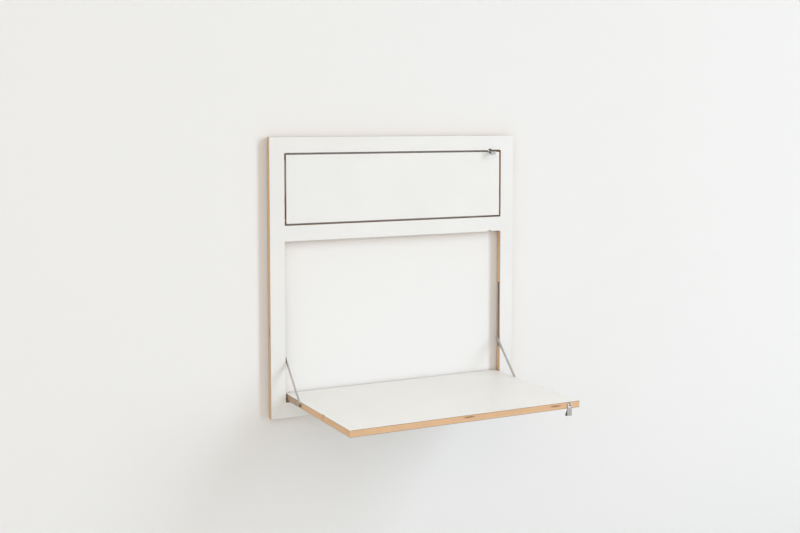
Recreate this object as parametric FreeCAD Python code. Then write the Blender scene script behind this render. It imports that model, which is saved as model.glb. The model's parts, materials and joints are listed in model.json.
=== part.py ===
import FreeCAD, Part
import math
import os
from types import SimpleNamespace

from FreeCAD import Vector

os.makedirs("parts", exist_ok=True)

# A wall frame cut from one board, with a desk and a smaller flap that fold down out of it.
# Millimetres and degrees. X runs to the right, Y into the wall and Z up.
# The wall is the plane Y = 0. Z = 0 is the line that the two wall hangers share.

# Board and frame
frame_width = 800.0
frame_height = 800.0
stile_width = 45.0
rail_height = 45.0
board_thickness = 18.0
laminate_thickness = 0.8
flap_height = 195.0
kerf = 5.0

# Clearances, and how far a cutting shape runs past what it cuts
running_clearance = 0.05
seat_clearance = 0.05
slide_clearance = 0.2
open_pivot_gap = 0.3
overrun = 1.0

# Hinge pins, and the bushes in the stiles
pin_diameter = 8.0
pin_length_in_panel = 30.0
pin_length_in_bush = 23.0
bush_wall = 2.0
bush_length = 25.0

# Stays: flat bars between a screw in the panel's side edge and a slider in the stile
desk_stay_reach = 111.0
stay_open_angle = 45.0
stay_width = 10.0
stay_thickness = 2.0
stay_play = 0.1
stay_from_panel = 0.7
stay_screw_head_diameter = 10.0
stay_screw_head_thickness = 1.5
stay_screw_diameter = 5.0
stay_screw_length = 22.0
stay_socket_width = 3.0
stay_socket_depth = 0.9
rivet_diameter = 4.0
rivet_head_diameter = 8.5
rivet_head_thickness = 1.3
rivet_notch_width = 11.0
rivet_notch_depth = 2.5

# Guides: lipped troughs let into the inner faces of the stiles, with a slider and a stop in each
guide_width = 9.0
guide_depth = 10.0
guide_wall = 1.2
guide_lip = 1.0
guide_below_slider = 28.0
guide_above_slider = 18.0
flap_guide_below_rail = 4.0
slider_length = 12.0
slider_chamfer = 0.8
slider_neck_length = 8.0
stop_thickness = 4.0
stop_length = 20.0

# Latches: a scooped sheet lever on the panel's free edge, with a tongue that turns into a slot in the rail
latch_from_side = 33.6
latch_reach = 30.0
latch_eye_diameter = 14.4
latch_tip_width = 17.0
latch_sheet = 1.5
latch_bend_bevel = 0.8
latch_skirt_start_depth = 3.0
latch_skirt_tip_depth = 10.0
latch_turn = 25.0
latch_tail_reach = 6.6
latch_tongue_width = 8.0
latch_tongue_engagement = 3.5
latch_clearance = 0.5
latch_relief_height = 1.2
latch_from_edge = 0.2
latch_play = 0.1
latch_screw_diameter = 5.0
latch_screw_length = 25.0
latch_screw_head_diameter = 9.5
latch_screw_head_height = 2.0
latch_socket_width = 5.0
latch_socket_depth = 1.4

# Wall hangers and pads
pad_thickness = 4.0
pad_diameter = 20.0
hanger_from_side = 100.0
hanger_length = 60.0
hanger_below_entry = 8.0
hanger_above_entry = 14.0
hanger_thickness = 2.0
keyhole_entry_diameter = 10.0
keyhole_slot_width = 4.6
keyhole_drop = 8.0
keyhole_pocket_depth = 9.0
keyhole_pocket_rim = 0.5

# Places that follow from the sizes above
board_back = -pad_thickness
board_front = board_back - board_thickness
board_middle = board_back - board_thickness / 2
core_back = board_back - laminate_thickness
core_front = board_front + laminate_thickness

# The kerf is one pass of a router bit, which leaves the corners of the openings round.
opening_corner_radius = kerf / 2

frame_half = frame_width / 2
opening_half = frame_half - stile_width
panel_half = opening_half - kerf
frame_top = rail_height / 2
frame_bottom = frame_top - frame_height
flap_opening_top = frame_top - rail_height
flap_opening_bottom = flap_opening_top - flap_height - 2 * kerf
desk_opening_top = flap_opening_bottom - rail_height
desk_opening_bottom = frame_bottom + rail_height

# The hinge axis lies at the middle of the thickness and as far from the panel's lower edge,
# so that an open panel's underside is level with a closed panel's lower edge.
hinge_inset = board_thickness / 2
latch_across = panel_half - latch_from_side
hanger_spacing = frame_width - 2 * hanger_from_side

# The flap is low, so its stays are as long as its height leaves room for: folded flat, a stay reaches up
# from its pivot by its own length, and the guide ends a little below the top rail.
stay_length_share = 1 / math.cos(math.radians(stay_open_angle))
flap_stay_room = flap_height + kerf - hinge_inset - guide_above_slider - flap_guide_below_rail
flap_stay_reach = flap_stay_room / (1 + stay_length_share)

# Layers across the kerf beside a panel, from the panel's edge outwards
stay_inner = panel_half + stay_from_panel
stay_outer = stay_inner + stay_thickness
stay_head_seat = stay_outer + stay_play
guide_lip_back = opening_half + guide_wall
guide_web = opening_half + guide_depth - guide_wall
guide_inner_half = guide_width / 2 - guide_wall
guide_mouth_half = guide_inner_half - guide_lip

# Layers above a closed panel's free edge
lever_low = latch_from_edge
lever_high = lever_low + latch_sheet
latch_head_seat = lever_high + latch_play


def panel_plan(name, bottom, top, stay_reach):
    """The heights on a closed panel and on its two stays."""
    plan = SimpleNamespace(name=name, bottom=bottom, top=top)
    plan.hinge = bottom + hinge_inset
    plan.stay_pivot = plan.hinge + stay_reach
    plan.stay_length = stay_reach * stay_length_share
    plan.slider_open = plan.hinge + stay_reach * math.tan(math.radians(stay_open_angle))
    plan.slider_closed = plan.stay_pivot + plan.stay_length
    plan.guide_low = plan.slider_open - guide_below_slider
    plan.guide_high = plan.slider_closed + guide_above_slider
    plan.stop_top = plan.slider_open - slider_length / 2 - slide_clearance
    return plan


desk = panel_plan("desk", desk_opening_bottom + kerf, desk_opening_top - kerf, desk_stay_reach)
flap = panel_plan("flap", flap_opening_bottom + kerf, flap_opening_top - kerf, flap_stay_reach)
panels = (desk, flap)

right = Vector(1, 0, 0)
into_wall = Vector(0, 1, 0)
up = Vector(0, 0, 1)


def box(low, high):
    """A block between two opposite corners."""
    size = high - low
    return Part.makeBox(size.x, size.y, size.z, low)


def rod(diameter, start, end):
    """A round bar between two points."""
    along = end - start
    return Part.makeCylinder(diameter / 2, along.Length, start, along)


def mirrored(shape):
    """The left-hand twin of a right-hand piece."""
    return shape.mirror(Vector(0, 0, 0), right)


# How far an edge may lean and still count as parallel
parallel_share = 0.01


def edges_along(shape, direction):
    """The straight edges of a block that run one way."""
    found = []
    for edge in shape.Edges:
        run = edge.Vertexes[-1].Point - edge.Vertexes[0].Point
        if run.cross(direction).Length < run.Length * parallel_share:
            found.append(edge)
    return found


def both_sides(shapes):
    """Right-hand pieces followed by their left-hand twins."""
    return list(shapes) + [mirrored(shape) for shape in shapes]


def board(half_width, bottom, top, back, front):
    """An upright board, centred across X."""
    return box(Vector(-half_width, front, bottom), Vector(half_width, back, top))


def upright_bar(width, low, high, inner, outer):
    """A square-ended bar along Z in the middle of the board, between two places across X."""
    half = width / 2
    return box(Vector(inner, board_middle - half, low), Vector(outer, board_middle + half, high))


def upright_slot(width, low, high, inner, outer):
    """A round-ended bar that stands along Z in the middle of the board, between two places across X."""
    low_centre = low + width / 2
    high_centre = high - width / 2
    shape = upright_bar(width, low_centre, high_centre, inner, outer)
    for height in (low_centre, high_centre):
        end = rod(width, Vector(inner, board_middle, height), Vector(outer, board_middle, height))
        shape = shape.fuse(end)
    return shape.removeSplitter()


def prism(points, along):
    """A straight-sided solid on a flat outline."""
    outline = Part.makePolygon(points + points[:1])
    return Part.Face(outline).extrude(along)


def hexagon(width, start, depth):
    """A six-sided bar along Z, given its width across the flats."""
    radius = width / math.sqrt(3)
    turns = [math.radians(60 * corner) for corner in range(6)]
    points = [start + Vector(radius * math.cos(turn), radius * math.sin(turn), 0) for turn in turns]
    return prism(points, up * depth)


def screw(
    seat,
    outward,
    shank_diameter,
    shank_length,
    head_diameter,
    head_height,
    socket_width,
    socket_depth,
):
    """A socket screw whose head sits on a seat and points outwards."""
    head = rod(head_diameter, Vector(0, 0, 0), up * head_height)
    shank = rod(shank_diameter, Vector(0, 0, 0), up * -shank_length)
    socket = hexagon(socket_width, up * (head_height - socket_depth), socket_depth + overrun)
    whole = head.fuse(shank).cut(socket).removeSplitter()
    whole.Placement = FreeCAD.Placement(seat, FreeCAD.Rotation(up, outward))
    return whole


def save(node, shapes):
    """Write one node, which may hold several separate solids of one kind."""
    shape = shapes[0] if len(shapes) == 1 else Part.makeCompound(shapes)
    shape.exportStep("parts/" + node + ".step")


def beside(across, height):
    """A point in the middle of the board's thickness."""
    return Vector(across, board_middle, height)


# The frame: a plywood core between two laminates

# The bore in the panel is deep enough to push a pin right in, which is how a panel goes between the stiles.
pin_push_in = kerf + pin_length_in_bush
bush_diameter = pin_diameter + 2 * running_clearance + 2 * bush_wall
bush_end = opening_half + bush_length


def stile_cuts(plan):
    """What is routed and drilled in the right-hand stile for one panel."""
    bore = rod(
        bush_diameter + 2 * seat_clearance,
        beside(opening_half - overrun, plan.hinge),
        beside(bush_end, plan.hinge),
    )
    pocket = upright_bar(
        guide_width + 2 * seat_clearance,
        plan.guide_low - seat_clearance,
        plan.guide_high + seat_clearance,
        opening_half - overrun,
        opening_half + guide_depth,
    )
    return [bore, pocket]


def latch_cuts(edge):
    """The slot for a latch's tongue in the lower edge of a rail: narrow at the front, wide behind."""
    turn = math.radians(latch_turn)
    tongue_half = latch_tongue_width / 2
    narrow_half = tongue_half + latch_clearance
    tongue_front = latch_tail_reach - latch_sheet
    wide_half = tongue_half * math.cos(turn) + latch_tail_reach * math.sin(turn) + latch_clearance
    shoulder = tongue_front * math.cos(turn) - tongue_half * math.sin(turn) - latch_clearance
    back = latch_tail_reach * math.cos(turn) + tongue_half * math.sin(turn) + latch_clearance / 2
    roof = edge + latch_tongue_engagement + latch_clearance
    narrow = box(
        Vector(latch_across - narrow_half, board_front - overrun, edge - overrun),
        Vector(latch_across + narrow_half, board_middle + shoulder, roof),
    )
    wide = box(
        Vector(latch_across - wide_half, board_middle + shoulder, edge - overrun),
        Vector(latch_across + wide_half, board_middle + back, roof),
    )
    relief = box(
        Vector(latch_across - latch_eye_diameter / 2, board_front - overrun, edge - overrun),
        Vector(panel_half, board_back + overrun, edge + latch_relief_height),
    )
    return [narrow.fuse(wide), relief]


def hanger_outline(grow, back, front):
    """The outline of a right-hand wall hanger, let into the back of the top rail."""
    half = hanger_length / 2 + grow
    plate = board(half, -hanger_below_entry - grow, hanger_above_entry + grow, back, front)
    plate.translate(right * (hanger_spacing / 2))
    return plate


def keyhole(entry_diameter, slot_width, back, front):
    """A round entry with a slot above it, through a right-hand wall hanger."""
    across = hanger_spacing / 2
    entry = rod(entry_diameter, Vector(across, front, 0), Vector(across, back, 0))
    end = rod(slot_width, Vector(across, front, keyhole_drop), Vector(across, back, keyhole_drop))
    slot = box(
        Vector(across - slot_width / 2, front, 0),
        Vector(across + slot_width / 2, back, keyhole_drop),
    )
    return entry.fuse([slot, end]).removeSplitter()


def hanger_cuts():
    """The recess for a right-hand wall hanger, and the pocket for the wall screw's head."""
    plate_front = board_back - hanger_thickness
    pocket_width = keyhole_entry_diameter + 2 * keyhole_pocket_rim
    recess = hanger_outline(seat_clearance, board_back + overrun, plate_front)
    pocket = keyhole(pocket_width, pocket_width, plate_front, plate_front - keyhole_pocket_depth)
    return [recess, pocket]


def frame_sheet(back, front, cuts):
    """One layer of the frame, with the openings for the desk and the flap."""
    sheet = board(frame_half, frame_bottom, frame_top, back, front)
    for bottom, top in ((desk_opening_bottom, desk_opening_top), (flap_opening_bottom, flap_opening_top)):
        opening = board(opening_half, bottom, top, back + overrun, front - overrun)
        sheet = sheet.cut(opening.makeFillet(opening_corner_radius, edges_along(opening, into_wall)))
    return sheet.cut(cuts)


latch_slots = latch_cuts(desk_opening_top) + latch_cuts(flap_opening_top)
hanger_pockets = both_sides(hanger_cuts())
stile_pockets = both_sides(stile_cuts(desk) + stile_cuts(flap))
save("frame_core", [frame_sheet(core_back, core_front, latch_slots + hanger_pockets + stile_pockets)])
save("frame_front_laminate", [frame_sheet(core_front, board_front, latch_slots)])
save("frame_back_laminate", [frame_sheet(board_back, core_back, latch_slots + hanger_pockets)])

# Bushes in the stiles


def hinge_bush(plan):
    """A bush in the right-hand stile, flush with its inner face."""
    barrel = rod(bush_diameter, beside(opening_half, plan.hinge), beside(bush_end, plan.hinge))
    bore = rod(
        pin_diameter + 2 * running_clearance,
        beside(opening_half - overrun, plan.hinge),
        beside(bush_end + overrun, plan.hinge),
    )
    return barrel.cut(bore)


for plan in panels:
    save(plan.name + "_hinge_bushes", both_sides([hinge_bush(plan)]))

# Guides and stops


def guide(plan):
    """A lipped trough in the right-hand stile, cut square at its ends."""
    back = opening_half + guide_depth
    outside = upright_bar(guide_width, plan.guide_low, plan.guide_high, opening_half, back)
    low = plan.guide_low - overrun
    high = plan.guide_high + overrun
    inside = upright_bar(2 * guide_inner_half, low, high, guide_lip_back, guide_web)
    mouth = upright_bar(2 * guide_mouth_half, low, high, opening_half - overrun, guide_web)
    return outside.cut([inside, mouth])


def guide_stop(plan):
    """The block low in a right-hand guide, which the slider rests on when the panel is open."""
    width = 2 * (guide_inner_half - seat_clearance)
    low = plan.stop_top - stop_length
    return upright_bar(width, low, plan.stop_top, guide_web - stop_thickness, guide_web)


for plan in panels:
    trough = guide(plan)
    save(plan.name + "_guide_right", [trough])
    save(plan.name + "_guide_left", [mirrored(trough)])
save("guide_stops", both_sides([guide_stop(plan) for plan in panels]))

# Wall hangers and pads

hanger_keyhole = keyhole(
    keyhole_entry_diameter,
    keyhole_slot_width,
    board_back + overrun,
    board_back - hanger_thickness - overrun,
)
hanger = hanger_outline(0, board_back, board_back - hanger_thickness).cut(hanger_keyhole)
save("wall_hanger_right", [hanger])
save("wall_hanger_left", [mirrored(hanger)])


def wall_pad(across, height):
    """A round pad on the back of the frame, which meets the wall."""
    return rod(pad_diameter, Vector(across, board_back, height), Vector(across, 0, height))


lower_pad = wall_pad(frame_half - stile_width / 2, frame_bottom + rail_height / 2)
save("wall_pads", [wall_pad(0, 0)] + both_sides([lower_pad]))

# A panel and all that moves with it, modelled closed and upright in its opening


def rivet_notch(plan):
    """A notch in the panel's right-hand edge, open at the back, for the rivet head of a folded stay."""
    half = rivet_notch_width / 2
    inner = panel_half - rivet_notch_depth
    outer = panel_half + overrun
    height = plan.slider_closed
    straight = box(
        Vector(inner, board_middle, height - half),
        Vector(outer, board_back + overrun, height + half),
    )
    end = rod(rivet_notch_width, beside(inner, height), beside(outer, height))
    return straight.fuse(end)


def panel_sheet(plan, back, front, cuts):
    """One layer of a panel."""
    sheet = board(panel_half, plan.bottom, plan.top, back, front)
    return sheet.cut(cuts) if cuts else sheet


def panel_bores(plan):
    """The holes in a panel's edges for its pins and screws."""
    pin_bore = rod(
        pin_diameter + 2 * seat_clearance,
        beside(panel_half - pin_length_in_panel - pin_push_in, plan.hinge),
        beside(panel_half + overrun, plan.hinge),
    )
    stay_bore = rod(
        stay_screw_diameter + 2 * seat_clearance,
        beside(panel_half - stay_screw_length, plan.stay_pivot),
        beside(panel_half + overrun, plan.stay_pivot),
    )
    latch_bore = rod(
        latch_screw_diameter + 2 * seat_clearance,
        beside(latch_across, plan.top - latch_screw_length),
        beside(latch_across, plan.top + overrun),
    )
    return both_sides([pin_bore, stay_bore]) + [latch_bore]


def hinge_pin(plan):
    """A right-hand hinge pin, fast in the panel and free in its bush."""
    start = panel_half - pin_length_in_panel
    end = opening_half + pin_length_in_bush
    return rod(pin_diameter, beside(start, plan.hinge), beside(end, plan.hinge))


def stay_screw(plan):
    """The screw that a right-hand stay turns on."""
    return screw(
        beside(stay_head_seat, plan.stay_pivot),
        right,
        stay_screw_diameter,
        stay_head_seat - panel_half + stay_screw_length,
        stay_screw_head_diameter,
        stay_screw_head_thickness,
        stay_socket_width,
        stay_socket_depth,
    )


def latch_screw(plan):
    """The screw that a latch lever turns on."""
    return screw(
        beside(latch_across, plan.top + latch_head_seat),
        up,
        latch_screw_diameter,
        latch_head_seat + latch_screw_length,
        latch_screw_head_diameter,
        latch_screw_head_height,
        latch_socket_width,
        latch_socket_depth,
    )


def stay(plan):
    """A right-hand stay, folded along the panel's edge."""
    low = plan.stay_pivot - stay_width / 2
    high = plan.slider_closed + stay_width / 2
    bar = upright_slot(stay_width, low, high, stay_inner, stay_outer)
    holes = []
    for height, diameter in (
        (plan.stay_pivot, stay_screw_diameter + 2 * running_clearance),
        (plan.slider_closed, rivet_diameter + 2 * seat_clearance),
    ):
        start = beside(stay_inner - overrun, height)
        end = beside(stay_outer + overrun, height)
        holes.append(rod(diameter, start, end))
    return bar.cut(holes)


def stay_rivet(plan):
    """The rivet at a right-hand stay's sliding end, with its head towards the panel."""
    height = plan.slider_closed
    seat = beside(stay_inner, height)
    head = rod(rivet_head_diameter, seat, beside(stay_inner - rivet_head_thickness, height))
    shank = rod(rivet_diameter, seat, beside(stay_outer, height))
    return head.fuse(shank).removeSplitter()


def slider(height):
    """A right-hand slider, held behind the lips of its guide, with a neck that carries the stay."""
    half_width = guide_inner_half - slide_clearance
    half_length = slider_length / 2
    inner = guide_lip_back + slide_clearance
    outer = guide_web - slide_clearance
    body = upright_bar(2 * half_width, height - half_length, height + half_length, inner, outer)
    body = body.makeChamfer(slider_chamfer, edges_along(body, right))
    neck = upright_bar(
        2 * (guide_mouth_half - slide_clearance),
        height - slider_neck_length / 2,
        height + slider_neck_length / 2,
        stay_outer + open_pivot_gap,
        inner,
    )
    return body.fuse(neck).removeSplitter()


def latch_lever(plan):
    """A lever of bent sheet: an eye, a plate that widens to a skirted tip, and a tongue behind."""
    eye_half = latch_eye_diameter / 2
    tip_half = latch_tip_width / 2
    tongue_half = latch_tongue_width / 2
    turn = math.radians(latch_turn)
    skirt_start = (board_thickness / 2 + latch_clearance + tip_half * math.sin(turn)) / math.cos(turn)
    tip_low = lever_high - latch_skirt_tip_depth
    start_low = lever_high - latch_skirt_start_depth

    def side(forward):
        """Half the plate's width at a distance in front of the pivot."""
        return eye_half + (tip_half - eye_half) * forward / latch_reach

    def plate(near, far, inset, low, high):
        """A slice of the tapered plate between two distances in front of the pivot."""
        points = [
            Vector(side(near) - inset, -near, low),
            Vector(side(far) - inset, -far, low),
            Vector(inset - side(far), -far, low),
            Vector(inset - side(near), -near, low),
        ]
        return prism(points, up * (high - low))

    eye = rod(latch_eye_diameter, up * lever_low, up * lever_high)
    arm = plate(0, latch_reach, 0, lever_low, lever_high)
    skirt_block = plate(skirt_start, latch_reach, 0, tip_low, lever_high)
    skirt_hollow = plate(
        skirt_start - overrun,
        latch_reach - latch_sheet,
        latch_sheet,
        tip_low - overrun,
        lever_low,
    )
    profile = [
        Vector(-latch_tip_width, -skirt_start, lever_high),
        Vector(-latch_tip_width, -skirt_start, start_low),
        Vector(-latch_tip_width, -latch_reach, tip_low),
        Vector(-latch_tip_width, -latch_reach, lever_high),
    ]
    skirt = skirt_block.common(prism(profile, right * (2 * latch_tip_width))).cut(skirt_hollow)
    tail = box(
        Vector(-tongue_half, 0, lever_low),
        Vector(tongue_half, latch_tail_reach, lever_high),
    )
    tongue = box(
        Vector(-tongue_half, latch_tail_reach - latch_sheet, lever_low),
        Vector(tongue_half, latch_tail_reach, kerf + latch_tongue_engagement),
    )
    lever = eye.fuse([arm, skirt, tail, tongue]).removeSplitter()
    bends = []
    for edge in lever.Edges:
        bounds = edge.BoundBox
        on_top = bounds.ZMin > (lever_low + lever_high) / 2 and bounds.ZMax < latch_head_seat
        if on_top and bounds.YMin < latch_sheet - latch_reach:
            bends.append(edge)
    lever = lever.makeChamfer(latch_bend_bevel, bends)
    bore = rod(latch_screw_diameter + 2 * running_clearance, up * -overrun, up * (lever_high + overrun))
    lever = lever.cut(bore)
    lever.translate(beside(latch_across, plan.top))
    return lever


def panel_pieces(plan, back_name, front_name):
    """Every piece of one panel, by node name, in its closed place."""
    name = plan.name
    notches = both_sides([rivet_notch(plan)])
    folded_stay = stay(plan)
    rivet = stay_rivet(plan)
    return {
        name + "_core": [panel_sheet(plan, core_back, core_front, panel_bores(plan) + notches)],
        name + back_name: [panel_sheet(plan, board_back, core_back, notches)],
        name + front_name: [panel_sheet(plan, core_front, board_front, [])],
        name + "_hinge_pins": both_sides([hinge_pin(plan)]),
        name + "_stay_screws": both_sides([stay_screw(plan)]),
        name + "_latch_screw": [latch_screw(plan)],
        name + "_latch_lever": [latch_lever(plan)],
        name + "_stay_right": [folded_stay],
        name + "_stay_left": [mirrored(folded_stay)],
        name + "_stay_rivet_right": [rivet],
        name + "_stay_rivet_left": [mirrored(rivet)],
    }


# The flap is stored closed, and the desk folded down with its stays drawn out
quarter_turn = 90.0
stay_fold = 180.0 - stay_open_angle

for node, shapes in panel_pieces(flap, "_back_laminate", "_front_laminate").items():
    save(node, shapes)

for node, shapes in panel_pieces(desk, "_top_laminate", "_under_laminate").items():
    for shape in shapes:
        swings_back = node in ("desk_stay_right", "desk_stay_left")
        if swings_back or "_rivet_" in node:
            shape.rotate(beside(0, desk.stay_pivot), right, -stay_fold)
        shape.rotate(beside(0, desk.hinge), right, quarter_turn)
    save(node, shapes)

for plan, height in ((desk, desk.slider_open), (flap, flap.slider_closed)):
    block = slider(height)
    save(plan.name + "_slider_right", [block])
    save(plan.name + "_slider_left", [mirrored(block)])
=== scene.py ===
# %% [markdown]
# # Dressing a fold down wall desk
# The real object is one white-faced plywood board that hangs on a wall. A large panel and a smaller one
# are cut out of it, and each folds down on hinge pins. The solids are already made and load as a fixed
# frame. This lesson sets the camera, the wall and the light, gives every solid its finish, breaks the
# sharp edges and adds the small screws. All lengths are metres. X runs to the right, Y into the wall and
# Z up, as in the solids.

# %% Load the solids
import json
import math

import bpy
from mathutils import Matrix, Vector


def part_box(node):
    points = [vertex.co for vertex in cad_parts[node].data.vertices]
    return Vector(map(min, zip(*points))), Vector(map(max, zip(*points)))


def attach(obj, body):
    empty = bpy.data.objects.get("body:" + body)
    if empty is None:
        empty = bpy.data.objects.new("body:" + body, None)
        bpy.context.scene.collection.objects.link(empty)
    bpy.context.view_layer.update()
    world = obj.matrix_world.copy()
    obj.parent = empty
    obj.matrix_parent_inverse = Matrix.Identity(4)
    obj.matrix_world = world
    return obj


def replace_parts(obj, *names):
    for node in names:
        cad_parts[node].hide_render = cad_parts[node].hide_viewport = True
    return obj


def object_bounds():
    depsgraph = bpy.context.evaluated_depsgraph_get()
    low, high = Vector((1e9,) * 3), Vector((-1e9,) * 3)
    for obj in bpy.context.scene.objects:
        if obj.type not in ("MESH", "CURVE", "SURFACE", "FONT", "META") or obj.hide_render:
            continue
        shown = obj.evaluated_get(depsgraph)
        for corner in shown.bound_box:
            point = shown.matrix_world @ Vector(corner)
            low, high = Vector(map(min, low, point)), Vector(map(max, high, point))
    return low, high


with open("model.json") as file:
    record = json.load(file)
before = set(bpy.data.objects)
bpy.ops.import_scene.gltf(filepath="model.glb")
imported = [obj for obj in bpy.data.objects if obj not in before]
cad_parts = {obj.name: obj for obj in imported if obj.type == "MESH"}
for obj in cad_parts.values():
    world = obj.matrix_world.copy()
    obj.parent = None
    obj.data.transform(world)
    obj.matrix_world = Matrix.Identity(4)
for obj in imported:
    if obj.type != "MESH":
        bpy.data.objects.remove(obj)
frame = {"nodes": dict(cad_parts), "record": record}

cad_low, cad_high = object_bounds()
scene = bpy.context.scene

# %% [markdown]
# ## The camera
# The photograph was taken from the left, about level with the top rail, through a longish lens. Its
# upright edges stay upright, which needs a lens that is shifted down. A fully shifted lens would push the
# desk off the middle of the picture from every other side, so the shift here is small and a slight tilt
# does the rest.

# %% Place the camera
camera_place = Vector((-1.526, -3.076, 0.073))
camera_heading = math.radians(26.67)
camera_tilt = math.radians(4.12)
camera_lens_mm = 52.24
camera_shift_share = -0.08

camera = bpy.data.objects.new("camera", bpy.data.cameras.new("camera"))
camera.data.lens = camera_lens_mm
camera.data.shift_y = camera_shift_share
camera.location = camera_place
camera.rotation_euler = (math.radians(90) - camera_tilt, 0, -camera_heading)
scene.collection.objects.link(camera)
scene.camera = camera
print("camera at", [round(x, 3) for x in camera_place], "lens", camera_lens_mm)

# %% [markdown]
# ## Wiring shader nodes
# Every finish below is a small tree of shader nodes. A few helpers keep the trees short: they add a node
# and feed its inputs, do arithmetic, move a range of values and mix colours. A value that is itself an
# output is linked. Any other value is set on the socket, so a number that is the same all over needs no
# node.

# %% Helpers for shader nodes
rising = (0.0, 1.0)
falling = (1.0, 0.0)


def feed(tree, socket, value):
    """Links an output to a socket, or sets the socket's value."""
    if isinstance(value, bpy.types.NodeSocket):
        tree.links.new(value, socket)
    else:
        socket.default_value = value


def add_node(tree, kind, out=0, **inputs):
    """Adds a node, feeds its named inputs and returns one of its outputs."""
    made = tree.nodes.new("ShaderNode" + kind)
    for name, value in inputs.items():
        feed(tree, made.inputs[name.replace("_", " ")], value)
    return made.outputs[out]


def sums(tree, operation, *values):
    """One step of arithmetic."""
    made = tree.nodes.new("ShaderNodeMath")
    made.operation = operation
    for socket, value in zip(made.inputs, values):
        feed(tree, socket, value)
    return made.outputs[0]


def vector_sums(tree, operation, *values):
    """One step of arithmetic on whole vectors."""
    made = tree.nodes.new("ShaderNodeVectorMath")
    made.operation = operation
    for socket, value in zip(made.inputs, values):
        feed(tree, socket, value)
    return made.outputs[0]


def length_of(tree, vector):
    """How long a vector is."""
    made = tree.nodes.new("ShaderNodeVectorMath")
    made.operation = "LENGTH"
    feed(tree, made.inputs[0], vector)
    return made.outputs["Value"]


def spread(tree, value, old, new):
    """Moves a range of values to a new range, and holds it there."""
    return add_node(
        tree, "MapRange", Value=value, From_Min=old[0], From_Max=old[1], To_Min=new[0], To_Max=new[1]
    )


def apart(tree, vector):
    """The three numbers of a vector."""
    made = tree.nodes.new("ShaderNodeSeparateXYZ")
    feed(tree, made.inputs[0], vector)
    return list(made.outputs)


def mixed(tree, share, first, second):
    """Mixes two colours."""
    made = tree.nodes.new("ShaderNodeMix")
    made.data_type = "RGBA"
    feed(tree, made.inputs["Factor"], share)
    feed(tree, made.inputs["A"], first)
    feed(tree, made.inputs["B"], second)
    return made.outputs["Result"]


def colour(red, green, blue):
    """A colour for a socket, from its linear red, green and blue."""
    return (red, green, blue, 1.0)


print("shader helpers ready")

# %% [markdown]
# ## The wall and the floor
# The desk hangs on a plain pale wall, which carries its shadows. The wall and a pale floor are one sheet:
# a plane for the floor, whose back edge is extruded upwards. Seen from behind or below, the sheet is
# clear, so that the back of the desk can be looked at. For the same reason the wall lets light through to
# the back of the frame, a few millimetres away, but only where that back is looked at. The gap behind the
# frame stays as dark as it is on a real wall.

# %% Build the wall and the floor
writing_height = 0.76
room_half_width = 6.0
room_depth = 5.0
room_height = 5.0
wall_gap = 0.0005

desk_top_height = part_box("desk_top_laminate")[1].z
floor_height = desk_top_height - writing_height


def deselect_all():
    """Leaves nothing selected, so that an operator acts on new work only."""
    bpy.ops.object.select_all(action="DESELECT")


deselect_all()
bpy.ops.mesh.primitive_plane_add(size=1, location=(0, wall_gap - room_depth / 2, floor_height))
room = bpy.context.object
room.name = "room"
room.scale = (2 * room_half_width, room_depth, 1)
bpy.ops.object.transform_apply(location=True, rotation=True, scale=True)
bpy.ops.object.mode_set(mode="EDIT")
bpy.ops.mesh.select_all(action="DESELECT")
bpy.ops.object.mode_set(mode="OBJECT")
for edge in room.data.edges:
    edge.select = all(room.data.vertices[v].co.y > 0 for v in edge.vertices)
bpy.ops.object.mode_set(mode="EDIT")
bpy.ops.mesh.select_mode(type="EDGE")
bpy.ops.mesh.extrude_region_move(TRANSFORM_OT_translate={"value": (0, 0, room_height)})
bpy.ops.object.mode_set(mode="OBJECT")
print("room faces", [tuple(round(x, 2) for x in face.normal) for face in room.data.polygons])

# %% Paint the wall and the floor
wall_paint = colour(0.86, 0.86, 0.858)
floor_paint = colour(0.60, 0.60, 0.60)
looks_up = (0.4, 0.6)
clear_within = 0.0055
one_bounce = 1.0
half_a_bounce = 0.5


def room_paint():
    """Pale paint that is clear from behind, and clear to the light of a surface seen right in front of it."""
    material = bpy.data.materials.new("room_paint")
    material.use_nodes = True
    tree = material.node_tree
    tree.nodes.clear()
    light_path = tree.nodes.new("ShaderNodeLightPath")
    near = sums(tree, "LESS_THAN", light_path.outputs["Ray Length"], clear_within)
    first = sums(tree, "COMPARE", light_path.outputs["Diffuse Depth"], one_bounce, half_a_bounce)
    looking = sums(tree, "SUBTRACT", first, light_path.outputs["Is Shadow Ray"])
    behind = tree.nodes.new("ShaderNodeNewGeometry").outputs["Backfacing"]
    clear = sums(tree, "MAXIMUM", behind, sums(tree, "MULTIPLY", near, looking))
    upwards = apart(tree, add_node(tree, "TexCoord", out="Normal"))[2]
    is_floor = spread(tree, upwards, looks_up, rising)
    paint = add_node(tree, "BsdfDiffuse", Color=mixed(tree, is_floor, wall_paint, floor_paint))
    glass = add_node(tree, "BsdfTransparent")
    both = tree.nodes.new("ShaderNodeMixShader")
    feed(tree, both.inputs[0], clear)
    feed(tree, both.inputs[1], paint)
    feed(tree, both.inputs[2], glass)
    output = tree.nodes.new("ShaderNodeOutputMaterial")
    feed(tree, output.inputs["Surface"], both.outputs[0])
    return material


room.data.materials.append(room_paint())
print("floor at", round(floor_height, 3))

# %% [markdown]
# ## The light
# The shadows tell where the light comes from. The frame is 22 mm deep and throws a soft shadow about 28
# mm wide to its left, while the one below its middle rail is thin and the desk's fades slowly down the
# wall. So a tall window stands far off to the right, and its light is cool. The edges that look to the
# left are hardly darker than the front, so a broad, warmer lamp fills in from the front left, as the
# other side of a pale room does. A lamp's level is what it adds to a white surface that faces it, and its
# power follows from that.

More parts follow.
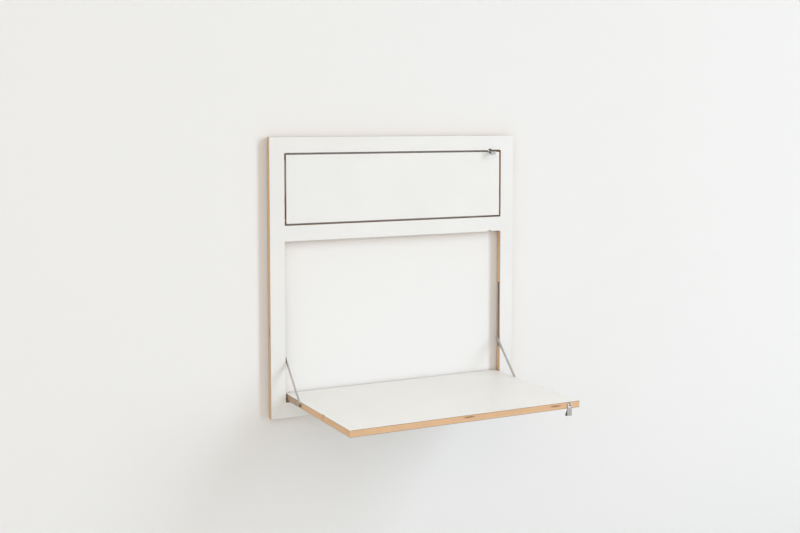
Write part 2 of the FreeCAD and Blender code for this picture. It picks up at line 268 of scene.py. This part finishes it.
# %% Set the lamps
window_azimuth = math.radians(50)
window_elevation = math.radians(19)
window_spread = (math.radians(12), math.radians(50))
window_distance = 14.0
window_level = 0.628
front_azimuth = math.radians(-40)
front_elevation = math.radians(18)
front_spread = (math.radians(70), math.radians(46))
front_distance = 10.0
front_level = 0.285
daylight = (0.783, 0.892, 1.0)
front_white = (1.0, 0.962, 0.912)

desk_middle = (cad_low + cad_high) / 2


def area_lamp(name, azimuth, elevation, spread_angles, distance, level, tint):
    """A flat lamp that faces the desk. Azimuth 0 is straight in front and grows to the right."""
    lamp = bpy.data.objects.new(name, bpy.data.lights.new(name, "AREA"))
    lamp.data.shape = "RECTANGLE"
    lamp.data.size, lamp.data.size_y = [2 * distance * math.tan(angle / 2) for angle in spread_angles]
    lamp.data.energy = level * math.pi ** 2 * distance ** 2
    lamp.data.color = tint
    flat = math.cos(elevation)
    towards = Vector((flat * math.sin(azimuth), -flat * math.cos(azimuth), math.sin(elevation)))
    lamp.location = desk_middle + towards * distance
    lamp.rotation_mode = "QUATERNION"
    lamp.rotation_quaternion = towards.to_track_quat("Z", "Y")
    scene.collection.objects.link(lamp)
    print(name, "of", round(lamp.data.energy), "W at", [round(x, 1) for x in lamp.location])


area_lamp("window", window_azimuth, window_elevation, window_spread, window_distance, window_level, daylight)
area_lamp("front", front_azimuth, front_elevation, front_spread, front_distance, front_level, front_white)

# %% [markdown]
# ## Light from all round
# A pale room sends light back from everywhere, and more from above than from the floor. The world gives
# that light. It is warm, as the shadows in the photograph are, and much stronger behind the wall, where
# it lights the back of the desk for a look from there. The camera and the mirrors on the desk see a plain
# pale room instead.

# %% Set the light from all round
room_light = 0.412
more_from_above = 0.31
back_light = 2.2
warm_white = colour(1.0, 0.922, 0.815)
wall_crossing = (-0.05, 0.05)
room_seen = 0.86
room_white = colour(1.0, 1.0, 1.0)

world = bpy.data.worlds.new("pale_room")
world.use_nodes = True
scene.world = world
sky = world.node_tree
sky.nodes.clear()
path = sky.nodes.new("ShaderNodeLightPath")
seen = sums(sky, "MAXIMUM", path.outputs["Is Camera Ray"], path.outputs["Is Glossy Ray"])
seen = sums(sky, "MAXIMUM", seen, path.outputs["Is Transmission Ray"])
wallwards, upwards = apart(sky, add_node(sky, "TexCoord", out="Generated"))[1:]
in_front = sums(sky, "MULTIPLY_ADD", upwards, more_from_above, room_light)
strength = spread(sky, wallwards, wall_crossing, (in_front, back_light))
even = add_node(sky, "Background", Color=warm_white, Strength=strength)
pale = add_node(sky, "Background", Color=room_white, Strength=room_seen)
either = sky.nodes.new("ShaderNodeMixShader")
feed(sky, either.inputs[0], seen)
feed(sky, either.inputs[1], even)
feed(sky, either.inputs[2], pale)
feed(sky, sky.nodes.new("ShaderNodeOutputWorld").inputs["Surface"], either.outputs[0])
scene.view_settings.view_transform = "Standard"
print("world nodes:", len(sky.nodes))

# %% [markdown]
# ## A finish for each material
# A finish starts from one surface shader. Patterns read Object coordinates, which are the metres of the
# frame, so a grain of 1 mm is 1 mm on every piece, and it stays on the piece when the piece moves. Most
# patterns are a noise, whose values bunch round one half, so the range where they bunch is spread over
# the whole effect.

# %% Start a finish
noise_range = (0.3, 0.7)
cloud_range = (0.35, 0.65)


def new_finish(name):
    """A material with one surface shader. Returns the material, its tree and the shader node."""
    material = bpy.data.materials.new(name)
    material.use_nodes = True
    tree = material.node_tree
    return material, tree, tree.nodes["Principled BSDF"]


def object_place(tree):
    """Where a point lies on the piece, in metres."""
    return add_node(tree, "TexCoord", out="Object")


def object_normal(tree):
    """Which way a face of the piece points."""
    return add_node(tree, "TexCoord", out="Normal")


def noise(tree, place, scale, detail):
    """Soft random spots. Scale counts them in a metre."""
    return add_node(tree, "TexNoise", Vector=place, Scale=scale, Detail=detail)


def stretched(tree, place, stretch):
    """Coordinates that are stretched by their own amount along each axis."""
    return vector_sums(tree, "MULTIPLY", place, stretch)


def bumped(tree, height, depth, strength):
    """A normal that follows small heights, with the depth in metres."""
    return add_node(tree, "Bump", Height=height, Distance=depth, Strength=strength)


print("finish helpers ready")

# %% [markdown]
# ## White laminate
# The faces are white laminate with a faint pearl texture. A sheet of it is 0.8 mm thick, with paper
# soaked in brown resin below the white, so its cut edge is a thin dark line round every panel. The finish
# tells face from edge by the way the surface points: along the board's thickness it is white, and
# elsewhere the brown core.

# %% Make the white laminate
white_tones = (colour(0.815, 0.813, 0.80), colour(0.84, 0.838, 0.825))
core_tones = (colour(0.10, 0.065, 0.045), colour(0.20, 0.135, 0.09))
face_from = 0.9
white_cloud_scale = 4.0
fibre_scale = 900.0
wipe_scale = (9.0, 9.0, 3.0)
laminate_gloss = (0.34, 0.46)
pearl_scale = 700.0
pearl_depth = 0.00002


def white_laminate(name, thickness_axis):
    """White laminate with a brown core, for a board whose thickness lies along one axis."""
    material, tree, shader = new_finish(name)
    place = object_place(tree)
    facing = sums(tree, "ABSOLUTE", apart(tree, object_normal(tree))[thickness_axis])
    is_face = sums(tree, "GREATER_THAN", facing, face_from)
    clouds = noise(tree, place, white_cloud_scale, detail=3.0)
    white = mixed(tree, spread(tree, clouds, cloud_range, rising), *white_tones)
    core = mixed(tree, noise(tree, place, fibre_scale, detail=2.0), *core_tones)
    feed(tree, shader.inputs["Base Color"], mixed(tree, is_face, core, white))
    wiped = noise(tree, stretched(tree, place, wipe_scale), scale=1.0, detail=4.0)
    feed(tree, shader.inputs["Roughness"], spread(tree, wiped, noise_range, laminate_gloss))
    pearl = noise(tree, place, pearl_scale, detail=1.0)
    feed(tree, shader.inputs["Normal"], bumped(tree, pearl, pearl_depth, strength=0.5))
    return material


frame_laminate = white_laminate("frame_white_laminate", 1)
desk_laminate = white_laminate("desk_white_laminate", 2)
print("laminates:", frame_laminate.name, desk_laminate.name)

# %% [markdown]
# ## Knots and layers
# The board's core is birch plywood: thin layers whose grain runs crosswise to the next layer's. A cut
# edge shows them as stripes. Layers whose grain runs along the edge are pale with fine streaks, and the
# ones between, cut across the grain, are darker and full of pores. Here and there a layer has a knot,
# which the edge cuts to a long dark mark with a ragged rim. Birch has pale wood, brown pores and
# red-brown knots.

# %% Make the knots
end_birch = colour(0.65, 0.385, 0.205)
knot_brown = colour(0.20, 0.10, 0.046)
knot_red = colour(0.40, 0.212, 0.105)
knot_length = 0.017
knot_width = 0.0021
knot_ring_rate = 13.0
knot_rim = (0.8, 1.05)
knot_halo = (1.0, 1.9)
halo_share = 0.55
ragged_scale = 700.0
ragged_reach = (-0.35, 0.35)
no_knot = 9.0


def from_nearest_knot(tree, place, knots, along):
    """How far a point is from the nearest knot, whose rim is at 1. Knots are drawn out along one axis."""
    stretch = [1 / knot_width] * 3
    stretch[along] = 1 / knot_length
    nearest = no_knot
    for knot in knots:
        offset = vector_sums(tree, "SUBTRACT", place, knot)
        nearest = sums(tree, "MINIMUM", nearest, length_of(tree, stretched(tree, offset, stretch)))
    rough = noise(tree, place, ragged_scale, detail=3.0)
    return sums(tree, "ADD", nearest, spread(tree, rough, noise_range, ragged_reach))


def with_knots(tree, place, wood, knots, along):
    """Wood with knots: a dark rim, rings inside it and a halo, where the grain bends round the knot."""
    away = from_nearest_knot(tree, place, knots, along)
    ring = sums(tree, "SINE", sums(tree, "MULTIPLY", away, knot_ring_rate))
    knot = mixed(tree, spread(tree, ring, (-1.0, 1.0), rising), knot_brown, knot_red)
    wood = mixed(tree, spread(tree, away, knot_halo, (halo_share, 0.0)), wood, end_birch)
    return mixed(tree, spread(tree, away, knot_rim, falling), wood, knot)


print("knots of", 2 * knot_length, "by", 2 * knot_width)

# %% [markdown]
# ## Birch plywood
# The layers are real here, a pattern through the whole board, so every edge, bore and slot shows them
# rightly. The outer layers run up and down the hanging board. A few knots sit where the photograph shows
# dark marks. The desk's side edges get painted shade, darker and greyer, from the stays to the hinge.

# %% Make the plywood
pale_birch = colour(0.87, 0.625, 0.395)
golden_birch = colour(0.79, 0.505, 0.275)
pore_brown = colour(0.42, 0.22, 0.105)
glue_brown = colour(0.33, 0.175, 0.085)
# Painted shade for the desk's side edges between the stays and the hinge.
edge_painted_shade = colour(0.27, 0.215, 0.18)
ply_count = 13
streak_length_scale = 9.0
streak_width_scale = 900.0
streak_range = (0.35, 0.70)
pore_range = (0.50, 0.75)
glue_share = 0.10
glue_strength = 0.7
blotch_scale = 14.0
blotch_range = (0.45, 0.75)
blotch_strength = 0.35
edge_shade_strength = 0.6
edge_shade_fade = 0.006
ply_gloss = (0.42, 0.58)
ply_grain_depth = 0.00006


def birch_ply(name, board, stack, knots=(), along=0, shaded_beyond=None):
    """Plywood with layers stacked along one axis of a board. Its side edges can take painted shade beyond a
    place.
    """
    material, tree, shader = new_finish(name)
    low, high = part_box(board)
    ply = (high[stack] - low[stack]) / ply_count
    place = object_place(tree)
    height = sums(tree, "DIVIDE", sums(tree, "SUBTRACT", apart(tree, place)[stack], low[stack]), ply)
    layer = sums(tree, "FLOOR", height)
    crosswise = sums(tree, "FLOORED_MODULO", layer, 2.0)
    within = sums(tree, "FRACT", height)

    across, upright = [axis for axis in range(3) if axis != stack]
    grains = []
    for axis in (upright, across):
        stretch = [streak_width_scale] * 3
        stretch[axis] = streak_length_scale
        grains.append(stretched(tree, place, stretch))
    choose = tree.nodes.new("ShaderNodeMix")
    choose.data_type = "VECTOR"
    feed(tree, choose.inputs["Factor"], crosswise)
    feed(tree, choose.inputs[4], grains[0])
    feed(tree, choose.inputs[5], grains[1])
    own_place = add_node(tree, "CombineXYZ", X=layer, Z=layer)
    shuffled = vector_sums(tree, "ADD", choose.outputs[1], own_place)
    grain = noise(tree, shuffled, scale=1.0, detail=3.0)

    facing = apart(tree, object_normal(tree))
    ends = [sums(tree, "ABSOLUTE", facing[axis]) for axis in (upright, across)]
    crosscut = spread(tree, crosswise, rising, ends)
    long_grain = mixed(tree, spread(tree, grain, streak_range, rising), pale_birch, golden_birch)
    end_grain = mixed(tree, spread(tree, grain, pore_range, rising), end_birch, pore_brown)
    wood = mixed(tree, crosscut, long_grain, end_grain)

    rim = sums(tree, "MINIMUM", within, sums(tree, "SUBTRACT", 1.0, within))
    wood = mixed(tree, spread(tree, rim, (0.0, glue_share), (glue_strength, 0.0)), wood, glue_brown)
    blotch = noise(tree, place, blotch_scale, detail=2.0)
    wood = mixed(tree, spread(tree, blotch, blotch_range, (0.0, blotch_strength)), wood, golden_birch)
    if knots:
        wood = with_knots(tree, place, wood, knots, along)
    if shaded_beyond is not None:
        # Painted shade: the side edges are darker and greyer beyond a place, towards the hinge.
        edge_shade = spread(tree, apart(tree, place)[upright], (shaded_beyond, shaded_beyond + edge_shade_fade), rising)
        sideways = sums(tree, "GREATER_THAN", ends[1], 0.5)
        edge_shade = sums(tree, "MULTIPLY", sums(tree, "MULTIPLY", edge_shade, sideways), edge_shade_strength)
        wood = mixed(tree, edge_shade, wood, edge_painted_shade)
    feed(tree, shader.inputs["Base Color"], wood)
    feed(tree, shader.inputs["Roughness"], spread(tree, grain, noise_range, ply_gloss))
    feed(tree, shader.inputs["Normal"], bumped(tree, grain, ply_grain_depth, strength=0.6))
    return material


print("plywood of", ply_count, "layers")

# %% Make the boards' own plywood
first_knot_from_middle = -0.0025
first_knot_depth = 0.0045
second_knot_from_middle = 0.270
second_knot_depth = 0.0065
frame_knot_height = 0.25

desk_low, desk_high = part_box("desk_core")
frame_low, frame_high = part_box("frame_core")
desk_knots = [
    (first_knot_from_middle, desk_low.y, desk_high.z - first_knot_depth),
    (second_knot_from_middle, desk_low.y, desk_high.z - second_knot_depth),
]
frame_knots = [(frame_low.x, (frame_low.y + frame_high.y) / 2, frame_low.z + frame_knot_height)]
frame_ply = birch_ply("frame_birch_ply", "frame_core", 1, frame_knots, along=2)
flap_ply = birch_ply("flap_birch_ply", "flap_core", 1)
# The desk's side edges take painted shade from the stay screws to the hinge.
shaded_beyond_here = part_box("desk_stay_screws")[1].y
desk_ply = birch_ply("desk_birch_ply", "desk_core", 2, desk_knots, along=0, shaded_beyond=shaded_beyond_here)
print("plywood:", frame_ply.name, flap_ply.name, desk_ply.name)

# %% [markdown]
# ## Satin steel
# The stays, the levers and the screws are satin steel. Its brushing runs along each bar, so the
# coordinates are turned about X until the bar lies along Z, and a noise is then drawn out along Z. The
# brushing goes into the roughness and a very small bump, which is what stretches the reflections. The
# stays are plain, the screws and the levers are polished, and the levers are a darker sheet.

# %% Make the steel
stay_tones = (colour(0.605, 0.575, 0.565), colour(0.515, 0.49, 0.48))
lever_tones = (colour(0.56, 0.535, 0.54), colour(0.475, 0.455, 0.46))
screw_tones = (colour(0.84, 0.83, 0.815), colour(0.74, 0.73, 0.72))
# Painted shade for the stay screws and for the screws' cross recesses.
painted_shade_tones = (colour(0.17, 0.135, 0.115), colour(0.12, 0.095, 0.08))
satin = (0.28, 0.46)
polished = (0.16, 0.26)
brushing_scale = (2600.0, 2600.0, 30.0)
brushing_depth = 0.00001
smudge_scale = 60.0
smudge_range = (0.35, 0.7)
open_stay_slant = math.radians(45)


def satin_steel(name, tones, turn=0.0, gloss=satin):
    """Brushed steel for a bar that a turn about X brings upright."""
    material, tree, shader = new_finish(name)
    upright = add_node(tree, "Mapping", Vector=object_place(tree), Rotation=(turn, 0, 0))
    brushing = noise(tree, stretched(tree, upright, brushing_scale), scale=1.0, detail=3.0)
    smudge = noise(tree, upright, smudge_scale, detail=3.0)
    feed(tree, shader.inputs["Base Color"], mixed(tree, spread(tree, smudge, smudge_range, rising), *tones))
    shader.inputs["Metallic"].default_value = 1.0
    feed(tree, shader.inputs["Roughness"], spread(tree, brushing, noise_range, gloss))
    feed(tree, shader.inputs["Normal"], bumped(tree, brushing, brushing_depth, strength=0.6))
    return material


upright_steel = satin_steel("upright_steel", stay_tones)
slanted_steel = satin_steel("slanted_steel", stay_tones, open_stay_slant)
screw_steel = satin_steel("screw_steel", screw_tones)
print("steel:", upright_steel.name, slanted_steel.name, screw_steel.name)

# %% [markdown]
# ## Painted shade and highlights on the steel
# The bent flanks of a pressed lever get painted shade. They are told by the way they point, across the
# desk. The lever's eye round the screw gets a painted highlight. The screws are driven by a hexagon
# socket, which gets painted shade inside. Eye and socket are told by their distance from the screw's own
# axis. The latch screws are bright, and the stay screws are painted dark all over: painted shade.

# %% Darken the lever flanks and the sockets
# Painted shade on the lever flanks and in the sockets, and a painted highlight round the lever's eye.
flank_painted_shade = colour(0.075, 0.07, 0.058)
flank_range = (0.5, 0.8)
eye_painted_highlight = colour(0.90, 0.885, 0.87)
eye_rim = (0.0066, 0.00726)
socket_painted_shade = colour(0.05, 0.04, 0.036)
socket_rim = (0.00243, 0.0027)


def darken(material, share, dark):
    """Mixes painted shade into a finish, and makes it less of a mirror there."""
    tree = material.node_tree
    shader = tree.nodes["Principled BSDF"]
    tone = shader.inputs["Base Color"].links[0].from_socket
    feed(tree, shader.inputs["Base Color"], mixed(tree, share, tone, dark))
    feed(tree, shader.inputs["Metallic"], sums(tree, "SUBTRACT", 1.0, share))


def from_screw_axis(tree, screw, axis):
    """How far a point is from the axis of a screw."""
    low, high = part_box(screw)
    across = [1.0, 1.0, 1.0]
    across[axis] = 0.0
    offset = vector_sums(tree, "SUBTRACT", object_place(tree), (low + high) / 2)
    return length_of(tree, stretched(tree, offset, across))


def lever_steel(name, screw, axis):
    """Sheet with painted shade on its flanks and a painted highlight round its screw."""
    material = satin_steel(name, lever_tones, gloss=polished)
    tree = material.node_tree
    tone = tree.nodes["Principled BSDF"].inputs["Base Color"]
    eye = spread(tree, from_screw_axis(tree, screw, axis), eye_rim, falling)
    feed(tree, tone, mixed(tree, eye, tone.links[0].from_socket, eye_painted_highlight))
    sideways = sums(tree, "ABSOLUTE", apart(tree, object_normal(tree))[0])
    darken(material, spread(tree, sideways, flank_range, rising), flank_painted_shade)
    return material


def socket_screw(name, screw, axis, tones):
    """Steel with painted shade near the axis of a screw."""
    material = satin_steel(name, tones, gloss=polished)
    tree = material.node_tree
    inside = spread(tree, from_screw_axis(tree, screw, axis), socket_rim, falling)
    darken(material, inside, socket_painted_shade)
    return material


desk_lever_steel = lever_steel("desk_lever_steel", "desk_latch_screw", 1)
flap_lever_steel = lever_steel("flap_lever_steel", "flap_latch_screw", 2)
desk_socket_screw = socket_screw("desk_socket_screw", "desk_latch_screw", 1, screw_tones)
flap_socket_screw = socket_screw("flap_socket_screw", "flap_latch_screw", 2, screw_tones)
# The stay screws are dark all over: painted shade.
desk_painted_shade_screw = socket_screw("desk_painted_shade_screw", "desk_stay_screws", 0, painted_shade_tones)
flap_painted_shade_screw = socket_screw("flap_painted_shade_screw", "flap_stay_screws", 0, painted_shade_tones)
print("levers:", desk_lever_steel.name, flap_lever_steel.name)
print("bright screws:", desk_socket_screw.name, flap_socket_screw.name)
print("black screws:", desk_painted_shade_screw.name, flap_painted_shade_screw.name)

# %% [markdown]
# ## Plastic, zinc and rubber
# The guides are dark brown moulded plastic, and the sliders and bushes are black nylon. The wall hangers
# are zinc plated, which leaves pale spangles. The pads that touch the wall are dull rubber.

# %% Make the plastic and the rubber
plastic_cloud_scale = 90.0
plastic_grain_scale = 1800.0
plastic_grain_depth = 0.00002
plastic_gloss_range = 0.12
guide_tones = (colour(0.30, 0.235, 0.185), colour(0.36, 0.285, 0.225))
nylon_tones = (colour(0.035, 0.033, 0.03), colour(0.05, 0.047, 0.044))
rubber_tones = (colour(0.03, 0.03, 0.03), colour(0.045, 0.044, 0.042))


def moulded_plastic(name, tones, gloss):
    """Moulded plastic with a fine grain."""
    material, tree, shader = new_finish(name)
    place = object_place(tree)
    clouds = noise(tree, place, plastic_cloud_scale, detail=3.0)
    feed(tree, shader.inputs["Base Color"], mixed(tree, spread(tree, clouds, cloud_range, rising), *tones))
    grain = noise(tree, place, plastic_grain_scale, detail=2.0)
    rough = spread(tree, grain, noise_range, (gloss, gloss + plastic_gloss_range))
    feed(tree, shader.inputs["Roughness"], rough)
    feed(tree, shader.inputs["Normal"], bumped(tree, grain, plastic_grain_depth, strength=0.5))
    return material


guide_plastic = moulded_plastic("guide_plastic", guide_tones, gloss=0.42)
slider_nylon = moulded_plastic("slider_nylon", nylon_tones, gloss=0.38)
pad_rubber = moulded_plastic("pad_rubber", rubber_tones, gloss=0.75)
print("plastics:", guide_plastic.name, slider_nylon.name, pad_rubber.name)

# %% Make the zinc plate
zinc_tones = (colour(0.52, 0.55, 0.58), colour(0.70, 0.72, 0.74))
spangle_scale = 160.0
zinc_gloss = (0.28, 0.45)
zinc_grain_scale = 500.0
zinc_grain_depth = 0.00002


def zinc_plating(name):
    """Zinc plate with pale spangles of many sizes."""
    material, tree, shader = new_finish(name)
    place = object_place(tree)
    spangle = add_node(tree, "TexVoronoi", out="Color", Vector=place, Scale=spangle_scale)
    shade = apart(tree, spangle)[0]
    feed(tree, shader.inputs["Base Color"], mixed(tree, shade, *zinc_tones))
    shader.inputs["Metallic"].default_value = 1.0
    feed(tree, shader.inputs["Roughness"], spread(tree, shade, rising, zinc_gloss))
    grain = noise(tree, place, zinc_grain_scale, detail=2.0)
    feed(tree, shader.inputs["Normal"], bumped(tree, grain, zinc_grain_depth, strength=0.4))
    return material


hanger_zinc = zinc_plating("hanger_zinc")
print("zinc:", hanger_zinc.name)

# %% [markdown]
# ## Giving the solids their finishes
# A solid keeps its shape and place. Only the material in its slot changes. The names of the solids say
# what they are, so a short table of name endings is enough. Where two endings fit, the later one counts,
# and steel is for all that the table leaves out.

# %% Assign the finishes
finish_by_ending = {
    "_laminate": frame_laminate,
    "_guide_left": guide_plastic,
    "_guide_right": guide_plastic,
    "guide_stops": guide_plastic,
    "_slider_left": slider_nylon,
    "_slider_right": slider_nylon,
    "_bushes": slider_nylon,
    "wall_hanger_left": hanger_zinc,
    "wall_hanger_right": hanger_zinc,
    "wall_pads": pad_rubber,
    "frame_core": frame_ply,
    "flap_core": flap_ply,
    "desk_core": desk_ply,
    "desk_top_laminate": desk_laminate,
    "desk_under_laminate": desk_laminate,
    "desk_stay_left": slanted_steel,
    "desk_stay_right": slanted_steel,
    "desk_latch_lever": desk_lever_steel,
    "flap_latch_lever": flap_lever_steel,
    "desk_stay_screws": desk_painted_shade_screw,
    "flap_stay_screws": flap_painted_shade_screw,
    "desk_latch_screw": desk_socket_screw,
    "flap_latch_screw": flap_socket_screw,
}
for name, solid in frame["nodes"].items():
    finish = upright_steel
    for ending, choice in finish_by_ending.items():
        if name.endswith(ending):
            finish = choice
    solid.material_slots[0].material = finish
print("finishes given to", len(frame["nodes"]), "solids")

# %% [markdown]
# ## Copies that can take a bevel
# The solids have the right shapes, with edges that are perfectly sharp, and nothing real has those. A
# bevel breaks an edge, but a solid's mesh is loose triangles and must not change. So a solid is copied,
# its triangles are merged and its flat faces joined again, and the copy takes the bevel. It then stands
# for the solid and moves with the same body.

# %% Copy a solid for a bevel
merge_within = 0.000002
flat_within = math.radians(1)
sharp_beyond = math.radians(30)
smooth_within = math.radians(40)

body_of = {node: body for body, nodes in frame["record"]["behaviour"]["bodies"].items() for node in nodes}


def connected_copy(name, ending):
    """A copy of a solid as one connected mesh with whole faces. It is selected and active."""
    piece = bpy.data.objects.new(f"{name}_{ending}", frame["nodes"][name].data.copy())
    scene.collection.objects.link(piece)
    deselect_all()
    piece.select_set(True)
    bpy.context.view_layer.objects.active = piece
    bpy.ops.mesh.customdata_custom_splitnormals_clear()
    bpy.ops.object.mode_set(mode="EDIT")
    bpy.ops.mesh.select_mode(type="EDGE")
    bpy.ops.mesh.select_all(action="SELECT")
    bpy.ops.mesh.remove_doubles(threshold=merge_within)
    bpy.ops.mesh.dissolve_limited(angle_limit=flat_within)
    bpy.ops.mesh.select_all(action="DESELECT")
    bpy.ops.object.mode_set(mode="OBJECT")
    return piece


def stand_for(piece, name):
    """Shades a bevelled copy so that its flat faces stay flat, and puts it in the place of its solid."""
    bpy.ops.object.shade_smooth_by_angle(angle=smooth_within)
    weighted = piece.modifiers.new("weighted", "WEIGHTED_NORMAL")
    weighted.keep_sharp = True
    bpy.ops.object.modifier_apply(modifier=weighted.name)
    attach(piece, body_of[name])
    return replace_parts(piece, name)


print("bodies with solids:", len(set(body_of.values())))

# %% [markdown]
# ## Soft edges on the metal
# A stamped bar or sheet has no sharp edges: the die rounds them, and tumbling takes off the burr. Screws
# and rivets are turned or headed, and their rims are rounded too. A bevel modifier that is limited by
# angle finds those edges. Loop slide is off, because near a bore it can pull a corner across its
# neighbour.

# %% Round the edges of the metal
soft_edge = 0.0004
soft_steps = 3


def soften(name):
    """A copy of a metal solid with rounded edges, which stands for the solid."""
    piece = connected_copy(name, "soft")
    bevel = piece.modifiers.new("bevel", "BEVEL")
    bevel.width = soft_edge
    bevel.segments = soft_steps
    bevel.limit_method = "ANGLE"
    bevel.angle_limit = sharp_beyond
    bevel.loop_slide = False
    bpy.ops.object.modifier_apply(modifier=bevel.name)
    return stand_for(piece, name)


softened = []
for panel in ("desk", "flap"):
    for side in ("left", "right"):
        softened.append(soften(f"{panel}_stay_{side}"))
        softened.append(soften(f"{panel}_stay_rivet_{side}"))
    softened.append(soften(f"{panel}_stay_screws"))
    softened.append(soften(f"{panel}_latch_screw"))
    softened.append(soften(f"{panel}_latch_lever"))
for side in ("left", "right"):
    softened.append(soften(f"wall_hanger_{side}"))
print("softened:", len(softened), "faces:", sum(len(piece.data.polygons) for piece in softened))

# %% [markdown]
# ## Chamfered laminate
# A laminated board is trimmed with a slanting cutter, so that the hard edge of the laminate neither chips
# nor cuts. The chamfer goes only round the outer face. Its edges are found by the faces beside them: one
# looks out of the board and the other doesn't. It cuts into the brown core, which makes the dark line
# clearer.

# %% Chamfer the laminate
laminate_chamfer = 0.0003
aside_below = 0.5


def chamfer(name, axis, outwards):
    """A copy of a laminate sheet with a chamfer round its outer face, which stands for the sheet."""
    piece = connected_copy(name, "chamfered")
    looks = {}
    for face in piece.data.polygons:
        for key in face.edge_keys:
            looks.setdefault(key, []).append(outwards * face.normal[axis])
    for edge in piece.data.edges:
        edge.select = max(looks[edge.key]) > face_from and min(looks[edge.key]) < aside_below
    bpy.ops.object.mode_set(mode="EDIT")
    bpy.ops.mesh.bevel(offset=laminate_chamfer, segments=1, loop_slide=False)
    bpy.ops.object.mode_set(mode="OBJECT")
    return stand_for(piece, name)


chamfered = [chamfer("desk_top_laminate", 2, 1), chamfer("desk_under_laminate", 2, -1)]
for board in ("frame", "flap"):
    chamfered += [chamfer(f"{board}_front_laminate", 1, -1), chamfer(f"{board}_back_laminate", 1, 1)]
print("chamfered:", {piece.name: len(piece.data.polygons) for piece in chamfered})

# %% [markdown]
# ## The small screws
# Two screws hold each guide, and two hold each wall hanger. They are pan heads with a cross recess for
# the bit. A head is a cylinder whose top rim is rounded by a bevel, and two crossed blocks cut the
# recess, as the punch that forms a real head does. Each size is modelled once, standing on the origin,
# and copied to its places.

# %% Model a screw head
head_sides = 32
head_smooth_within = math.radians(35)
rim_round_share = 0.55
rim_steps = 5
recess_length_share = 0.62
recess_width_share = 0.17
recess_depth_share = 0.60
recess_rim = 0.00005
# The screw's cross recess takes painted shade.
recess_painted_shade = satin_steel("recess_painted_shade", painted_shade_tones)


def cut_block(piece, size, place):
    """Cuts a block out of a piece."""
    deselect_all()
    bpy.ops.mesh.primitive_cube_add(size=1, location=place, scale=size)
    block = bpy.context.object
    cut = piece.modifiers.new("cut", "BOOLEAN")
    cut.operation = "DIFFERENCE"
    cut.object = block
    bpy.context.view_layer.objects.active = piece
    bpy.ops.object.modifier_apply(modifier=cut.name)
    bpy.data.objects.remove(block)


def pan_head(name, radius, height):
    """A screw head that stands on the origin and looks along Z."""
    deselect_all()
    centre = (0, 0, height / 2)
    bpy.ops.mesh.primitive_cylinder_add(vertices=head_sides, radius=radius, depth=height, location=centre)
    head = bpy.context.object
    head.name = name
    bpy.ops.object.transform_apply(location=True)
    bpy.ops.object.mode_set(mode="EDIT")
    bpy.ops.mesh.select_mode(type="EDGE")
    bpy.ops.mesh.select_all(action="DESELECT")
    bpy.ops.object.mode_set(mode="OBJECT")
    for edge in head.data.edges:
        edge.select = all(head.data.vertices[v].co.z > height / 2 for v in edge.vertices)
    bpy.ops.object.mode_set(mode="EDIT")
    bpy.ops.mesh.bevel(offset=height * rim_round_share, segments=rim_steps, profile=0.5)
    bpy.ops.object.mode_set(mode="OBJECT")
    long, short = 2 * radius * recess_length_share, 2 * radius * recess_width_share
    deep = 2 * height * recess_depth_share
    for size in ((long, short, deep), (short, long, deep)):
        cut_block(head, size, (0, 0, height))
    # The faces inside the recess get painted shade.
    for finish in (screw_steel, recess_painted_shade):
        head.data.materials.append(finish)
    for face in head.data.polygons:
        in_recess = face.center.xy.length < long / 2 and face.center.z < height - recess_rim
        face.material_index = int(in_recess and face.center.z > recess_rim)
    deselect_all()
    head.select_set(True)
    bpy.ops.object.shade_smooth_by_angle(angle=head_smooth_within)
    return head


guide_head_radius = 0.0028
guide_head_height = 0.0016
hanger_head_radius = 0.00325
hanger_head_height = 0.0016
guide_head = pan_head("guide_screw", guide_head_radius, guide_head_height)
hanger_head = pan_head("hanger_screw", hanger_head_radius, hanger_head_height)
print("screw heads:", len(guide_head.data.polygons), "and", len(hanger_head.data.polygons), "faces")

# %% [markdown]
# ## Setting the screws
# The upper screw of a guide sits on its web, and the lower one goes through the stop block as well. The
# guides stand in the stiles, so their screws look towards the middle of the desk. The hangers lie in the
# back of the top rail, and their screws look at the wall, in the gap that the pads keep open.

# %% Set the screws
guide_wall = 0.0012
stop_thickness = 0.004
screw_from_guide_end = 0.007
screw_from_hanger_middle = 0.022
to_the_wall = Vector((0, 1, 0))


def set_screw(head, name, place, look):
    """A copy of a head that stands on a place and looks along a direction."""
    deselect_all()
    head.select_set(True)
    bpy.context.view_layer.objects.active = head
    bpy.ops.object.duplicate()
    screw = bpy.context.object
    screw.name = name
    screw.matrix_world = Matrix.Translation(place) @ look.to_track_quat("Z", "Y").to_matrix().to_4x4()
    bpy.ops.object.transform_apply(location=True, rotation=True, scale=True)
    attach(screw, "frame")
    return screw


screws = []
for panel in ("desk", "flap"):
    for side, inwards in (("left", 1), ("right", -1)):
        low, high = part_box(f"{panel}_guide_{side}")
        outer = low.x if side == "left" else high.x
        web = outer + inwards * guide_wall
        stop = web + inwards * stop_thickness
        guide_middle = (low.y + high.y) / 2
        look = Vector((inwards, 0, 0))
        upper = Vector((web, guide_middle, high.z - screw_from_guide_end))
        lower = Vector((stop, guide_middle, low.z + screw_from_guide_end))
        screws.append(set_screw(guide_head, f"{panel}_guide_screw_upper_{side}", upper, look))
        screws.append(set_screw(guide_head, f"{panel}_guide_screw_lower_{side}", lower, look))
for side in ("left", "right"):
    low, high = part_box(f"wall_hanger_{side}")
    hanger_middle = (low + high) / 2
    for end, step in (("a", -screw_from_hanger_middle), ("b", screw_from_hanger_middle)):
        place = Vector((hanger_middle.x + step, high.y, hanger_middle.z))
        screws.append(set_screw(hanger_head, f"hanger_screw_{side}_{end}", place, to_the_wall))
for head in (guide_head, hanger_head):
    bpy.data.objects.remove(head)
print("screws set:", len(screws))
